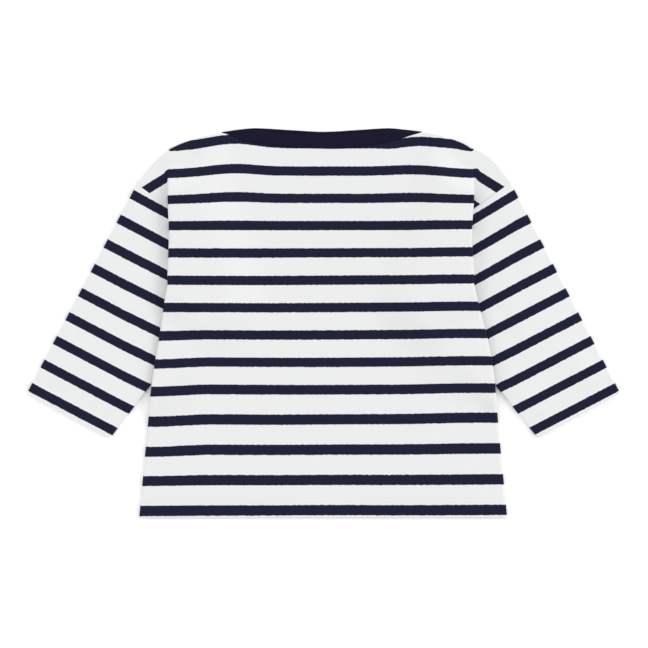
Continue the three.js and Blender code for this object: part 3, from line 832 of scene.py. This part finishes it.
def sew(name, paths):
    """Sews rows of stitches along paths of points, as one plain mesh."""
    vertices, edges = [], []
    for path in paths:
        first = len(vertices)
        vertices += (np.asarray(path) * MM).tolist()
        edges += [(i, i + 1) for i in range(first, len(vertices) - 1)]
    mesh = bpy.data.meshes.new(name + "_path")
    mesh.from_pydata(vertices, edges, [])
    stitches = bpy.data.objects.new(name, mesh)
    bpy.context.collection.objects.link(stitches)
    rows = stitches.modifiers.new("stitches", "NODES")
    rows.node_group = stitch_row
    sockets = {item.name: item.identifier for item in stitch_row.interface.items_tree}
    rows[sockets["Pitch"]] = STITCH_PITCH
    rows[sockets["Stitch length"]] = STITCH_LENGTH
    rows[sockets["Thread width"]] = THREAD_WIDTH
    rows[sockets["Thread"]] = white_thread
    ready = stitches.evaluated_get(bpy.context.evaluated_depsgraph_get())
    plain = bpy.data.meshes.new_from_object(ready)
    stitches.modifiers.clear()
    stitches.data = plain
    return stitches


def hem_rows(neckline, layer_height, is_front):
    """The paths of the hem's stitches on one face of a body panel."""
    rows = []
    for up in HEM_STITCHES_UP:
        y = HEM_Y + up
        first, last = float(fold_at(LEFT, y)) + HEM_STITCHES_IN, float(fold_at(RIGHT, y)) - HEM_STITCHES_IN
        x = np.linspace(first, last, HEM_PATH_POINTS)
        z = surface_height(neckline, x, y + 0 * x, layer_height, is_front)
        rows.append(np.stack([x, y + 0 * x, z], axis=-1))
    return rows


upper, cut, number = body_grid(
    front_neckline, FRONT_LAYER[1], front_rows, front_shares, True, FINE_STEPS
)
lower = body_grid(front_neckline, FRONT_LAYER[0], front_rows, front_shares, True, FINE_STEPS)[0]
front = cloth_piece("front_cloth", upper, lower, cut, number, striped_jersey)


front_hem = sew("front_hem_stitches", hem_rows(front_neckline, FRONT_LAYER[1], True))
for piece in (front, front_hem):
    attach(piece, "root")
    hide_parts("front")

# The back: the same cut and cloth with a higher neckline, lying on the sheet between the
# sleeves and over them at the sides.
BACK_NECKLINE_DIP = 7.0
THREAD_SUNK = 0.08
BACK_STEPS = {"arc": 6, "run": 4, "wing": 12}


def back_neckline(x):
    t = np.clip((x - TIP_LEFT) / (TIP_RIGHT - TIP_LEFT), 0, 1)
    ends = front_neckline(TIP_LEFT) * (1 - t) + front_neckline(TIP_RIGHT) * t
    return ends - BACK_NECKLINE_DIP * np.sqrt(np.maximum(1 - (2 * t - 1) ** 4, 0))


back_rows = front_rows[::2] if len(front_rows) % 2 else np.append(front_rows[::2], front_rows[-1])
back_shares = np.unique(np.concatenate([front_shares[::2], tip_shares, [1.0]]))
upper, cut, number = body_grid(
    back_neckline, BACK_LAYER[1], back_rows, back_shares, False, BACK_STEPS
)
lower = body_grid(back_neckline, BACK_LAYER[0], back_rows, back_shares, False, BACK_STEPS)[0]
back = cloth_piece("back_cloth", upper, lower, cut, number, striped_jersey)
back_hem = sew("back_hem_stitches", hem_rows(back_neckline, BACK_LAYER[0] + THREAD_SUNK, False))
for piece in (back, back_hem):
    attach(piece, "root")
    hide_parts("back")

# The sleeves: each is cut in one piece, closed by a seam under the arm and set to the dropped
# shoulder. They lie flattened, front over back, with the cuff's edge turned up inside.
ELBOW_TRIM = 10.0
TRIM_ENDS_OVER = 0.35
SEWN_GAP = 0.04
SLEEVE_EDGE_RADIUS = PAIR / 2
SLEEVE_RIPPLE = 1.0
CUFF_FLARE = 0.5
SLEEVE_STATIONS = 110
SLEEVE_ACROSS = 46
SLEEVE_EDGE_STEPS = 10
DOWN_SLEEVE = np.linspace(0, 1, SLEEVE_STATIONS)[:, None]
CUFF_STITCHES_UP = (13.0, 16.0)
LOWEST_STITCH = 0.1

# The sleeve's stripes: where the first one lies, how far each sleeve has slipped and bows, and
# how far the stripes sag beside the body's edge, at the shoulder and lower down.
FIRST_SLEEVE_STRIPE = 8.6
BOW_LENGTH = 195.0
LEFT["stripe_slip"], LEFT["stripe_bow"] = 0.4, 1.7
RIGHT["stripe_slip"], RIGHT["stripe_bow"] = 1.3, 2.1
LEFT["sag_at_top"], LEFT["sag_lower"], LEFT["sag_changes_over"] = 0.9, -1.3, 90.0
RIGHT["sag_at_top"], RIGHT["sag_lower"], RIGHT["sag_changes_over"] = 3.1, -1.4, 150.0
SAG_REACH = 38.0
SAG_ENDS_FROM, SAG_ENDS_OVER = 150.0, 40.0

# The sleeve's upper layer: its creases start clear of the body's edge, further out lower down,
# and end above the cuff, where the upper layer stands a little open.
CREASES_CLEAR, CLEAR_PER_MM_DOWN = 4.0, 0.12
CREASES_GROW_OVER = 20.0
CREASES_GROW_DOWN = 1 / 6
CREASES_END_AT, CUFF_OPENS_AT = 0.85, 0.9
CUFF_CHANGES_OVER = 0.1
EDGE_STAYS_FLAT, EDGE_RISES_OVER = 3.0, 10.0
LEFT["creases"] = [
    {"from": (-160, 80), "to": (-200, -8), "width": 7, "height": 0.5},
    {"from": (-150, 40), "to": (-184, -30), "width": 8, "height": 0.45},
    {"from": (-206, -10), "to": (-218, -60), "width": 7, "height": 0.35},
]
RIGHT["creases"] = [
    {"from": (158, 76), "to": (196, -4), "width": 7, "height": 0.5},
    {"from": (146, 30), "to": (182, -40), "width": 8, "height": 0.5},
    {"from": (206, -6), "to": (216, -58), "width": 7, "height": 0.3},
]


def unit(way):
    return way / np.linalg.norm(way)


def sleeve_edges(side):
    """The sleeve's outer and inner edges, row by row from the shoulder to the cuff."""
    corner = sleeve_shape(side)
    seam_way = unit(corner["seam_end"] - corner["shoulder"])
    sleeve_way = unit(corner["outer"] - corner["shoulder"])
    clear = sleeve_way * SEWN_GAP / abs(cross(sleeve_way, seam_way))
    start = corner["shoulder"] + clear
    start_in = corner["seam_end"] - seam_way * ELBOW_TRIM + clear
    elbow = corner["elbow"] - seam_way * ELBOW_TRIM
    upper_length = np.linalg.norm(elbow - start_in)
    bend_at = upper_length / (upper_length + np.linalg.norm(corner["inner"] - elbow))
    below_elbow = np.clip((DOWN_SLEEVE - bend_at) / (1 - bend_at), 0, 1)
    from_elbow = elbow + (corner["elbow"] - elbow) * ease(below_elbow / TRIM_ENDS_OVER)
    inner_edge = np.where(
        DOWN_SLEEVE < bend_at,
        start_in + (elbow - start_in) * DOWN_SLEEVE / bend_at,
        from_elbow + (corner["inner"] - from_elbow) * below_elbow,
    )
    return start + (corner["outer"] - start) * DOWN_SLEEVE, inner_edge


def around_tube(width, inset):
    """Once round the flattened tube: how far across it the points lie, and how high."""
    radius = SLEEVE_EDGE_RADIUS - inset
    flat = SLEEVE_EDGE_RADIUS + (width - 2 * SLEEVE_EDGE_RADIUS) * np.linspace(0, 1, SLEEVE_ACROSS)
    turns = np.linspace(0, math.pi, SLEEVE_EDGE_STEPS + 1)[1:-1] + 0 * width
    bulge = radius * np.sin(turns)
    along = [flat, width - SLEEVE_EDGE_RADIUS + bulge, flat[:, ::-1], SLEEVE_EDGE_RADIUS - bulge]
    level = radius + 0 * flat
    height = [level, radius * np.cos(turns), -level, -radius * np.cos(turns)]
    return np.concatenate(along, axis=1), np.concatenate(height, axis=1)


def sleeve_rise(side, x, y, along, width):
    """How far the upper layer rises: its waves and creases, and the open cuff."""
    clear = CREASES_CLEAR + CLEAR_PER_MM_DOWN * np.maximum(APEX_Y - y, 0)
    swell = ease((side["way"] * (x - side["fold_x"]) - clear) / CREASES_GROW_OVER)
    swell = swell * ease((along - SLEEVE_EDGE_RADIUS) / 14) * ease(DOWN_SLEEVE / CREASES_GROW_DOWN)
    wave = 0.45 + 0.3 * np.sin(along / 9 + 7 * DOWN_SLEEVE) + creases(side["creases"], x, y)
    above_cuff = 1 - ease((DOWN_SLEEVE - CREASES_END_AT) / CUFF_CHANGES_OVER)
    opened = CUFF_FLARE * ease((DOWN_SLEEVE - CUFF_OPENS_AT) / CUFF_CHANGES_OVER)
    opened = opened * ease((along - EDGE_STAYS_FLAT) / EDGE_RISES_OVER)
    raised = SLEEVE_RIPPLE * swell * np.maximum(wave, 0) * above_cuff + opened
    return raised * ease((width - along - EDGE_STAYS_FLAT) / EDGE_RISES_OVER)


def sleeve_number(side, x, from_shoulder):
    """Which stripe the sleeve's points belong to, with whole numbers at their middles."""
    bow = side["stripe_bow"] * np.sin(math.pi * np.clip(from_shoulder / BOW_LENGTH, 0, 1))
    sag = np.interp(from_shoulder, (0, side["sag_changes_over"]), (side["sag_at_top"], side["sag_lower"]))
    sag = sag * (1 - ease((from_shoulder - SAG_ENDS_FROM) / SAG_ENDS_OVER))
    by_the_fold = np.clip(1 - side["way"] * (x - side["fold_x"]) / SAG_REACH, 0, 1)
    slipped = side["stripe_slip"] + bow + sag * by_the_fold
    return (from_shoulder - FIRST_SLEEVE_STRIPE - slipped) / STRIPE_PITCH


def sleeve_grids(side):
    """A flattened tube: its outer and inner faces, its flat cut, its stripes and its size."""
    outer_edge, inner_edge = sleeve_edges(side)
    width = np.linalg.norm(inner_edge - outer_edge, axis=1, keepdims=True)
    across = (inner_edge - outer_edge) / width
    grids = []
    for inset in (0.0, WALL):
        along, height = around_tube(width, inset)
        x = outer_edge[:, :1] + across[:, :1] * along
        y = outer_edge[:, 1:] + across[:, 1:] * along
        raised = np.where(height > 0, sleeve_rise(side, x, y, along, width), 0)
        grids.append(np.stack([x, y, MIDDLE + height + raised], axis=-1))
    corner = sleeve_shape(side)
    sleeve_way = unit(corner["outer"] - corner["shoulder"])
    from_corner = grids[0][..., :2] - corner["shoulder"]
    from_shoulder = from_corner @ sleeve_way
    sideways = from_corner @ np.array([-sleeve_way[1], sleeve_way[0]])
    layer = np.where(grids[0][..., 2] > MIDDLE, 1.0, -1.0)
    cut_points = np.stack([sideways * layer, -from_shoulder], axis=-1)
    number = sleeve_number(side, grids[0][..., 0], from_shoulder)
    around = float(2 * width.max())
    length = float(np.linalg.norm(outer_edge[-1] - outer_edge[0]))
    area = 2 * float(width.mean()) * length
    if side["way"] > 0:
        grids = [g[:, ::-1] for g in grids]
        cut_points, number = cut_points[:, ::-1], number[:, ::-1]
    return grids, cut_points, number, (around, length), area


for side, name in ((LEFT, "sleeve_left"), (RIGHT, "sleeve_right")):
    (outer, inner), cut, number, size, area = sleeve_grids(side)
    sleeve = cloth_piece(name + "_cloth", outer, inner, cut, number, striped_jersey, wraps=True)
    flat_runs = []
    for up in CUFF_STITCHES_UP:
        station = (1 - up / size[1]) * (SLEEVE_STATIONS - 1)
        below, share = int(station), station - int(station)
        loop = outer[below] * (1 - share) + outer[below + 1] * share
        loop[:, 2] = np.maximum(loop[:, 2], LOWEST_STITCH)
        first = 1 if side is LEFT else SLEEVE_EDGE_STEPS
        for start in (first, first + SLEEVE_ACROSS + SLEEVE_EDGE_STEPS - 1):
            flat_runs.append(loop[start : start + SLEEVE_ACROSS - 2])
    cuff = sew(name + "_cuff_stitches", flat_runs)
    for piece in (sleeve, cuff):
        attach(piece, "root")
        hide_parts(name)

# The neck band: navy rib, folded and sewn edge to edge round the neck. Its front half lies
# over the back one, which shows above it in the middle.
BAND_TOP = (
    (-83.6, -69, -55, -28, 0, 28, 52.6, 66, 80),
    (156.4, 158.5, 159.5, 158, 156.6, 158.1, 159.5, 158.4, 156.8),
)
BAND_WALL = 1.5
BAND_CROWN = 0.5
FRONT_BAND_DROP = 2.6
FRONT_BAND_NARROWER = 0.02
BAND_COLUMNS = 150
BAND_ROWS = (0, 0.04, 0.12, 0.25, 0.4, 0.6, 0.75, 0.88, 0.96, 1)
RIB_LOOPS, RIB_ROWS = 620.0, 1100.0
RIB_RELIEF = 0.5
RIB_YARN = (0.0063, 0.0053, 0.0198)

navy_rib = bpy.data.materials.new("navy_rib")
navy_rib.use_nodes = True
nodes, links = navy_rib.node_tree.nodes, navy_rib.node_tree.links
shader = nodes["Principled BSDF"]
shader.inputs["Roughness"].default_value = 0.92
shader.inputs["Specular IOR Level"].default_value = 0.12
shader.inputs["Sheen Weight"].default_value = 0.04
fleck = add_knit(navy_rib, RIB_RELIEF, RIB_LOOPS, RIB_ROWS)
tone = mix_colour(nodes, links, fleck, [c * 0.75 for c in RIB_YARN], [c * 1.25 for c in RIB_YARN])
links.new(tone, shader.inputs["Base Color"])


def band_top(x):
    return curve_through(*BAND_TOP, x)


def front_band_top(x):
    t = (x - TIP_LEFT) / (TIP_RIGHT - TIP_LEFT)
    share = np.minimum(4 * np.minimum(t, 1 - t), 1)
    lower = band_top(x) * (1 - FRONT_BAND_NARROWER) + front_neckline(x) * FRONT_BAND_NARROWER
    return lower - FRONT_BAND_DROP * share


def band_grid(low_edge, high_edge, height, crowned):
    x = np.linspace(TIP_LEFT, TIP_RIGHT, BAND_COLUMNS)[None, :]
    share = np.array(BAND_ROWS)[:, None]
    y = high_edge(x) * (1 - share) + low_edge(x) * share
    crown = BAND_CROWN * np.abs(2 * share - 1) ** 5 if crowned else 0
    z = MIDDLE + height - crown + 0 * y
    return np.stack([x + 0 * y, y, z], axis=-1)


for name, low_edge, high_edge, low, high in (
    ("neck_band_front", front_neckline, front_band_top, FRONT_LAYER[0], FRONT_LAYER[0] + BAND_WALL),
    ("neck_band_back", back_neckline, band_top, *BACK_LAYER),
):
    upper = band_grid(low_edge, high_edge, high, True)
    lower = band_grid(low_edge, high_edge, low, False)
    band = cloth_piece(name + "_rib", upper, lower, upper[..., :2], 0 * upper[..., 0], navy_rib)
    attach(band, "root")
    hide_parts(name)
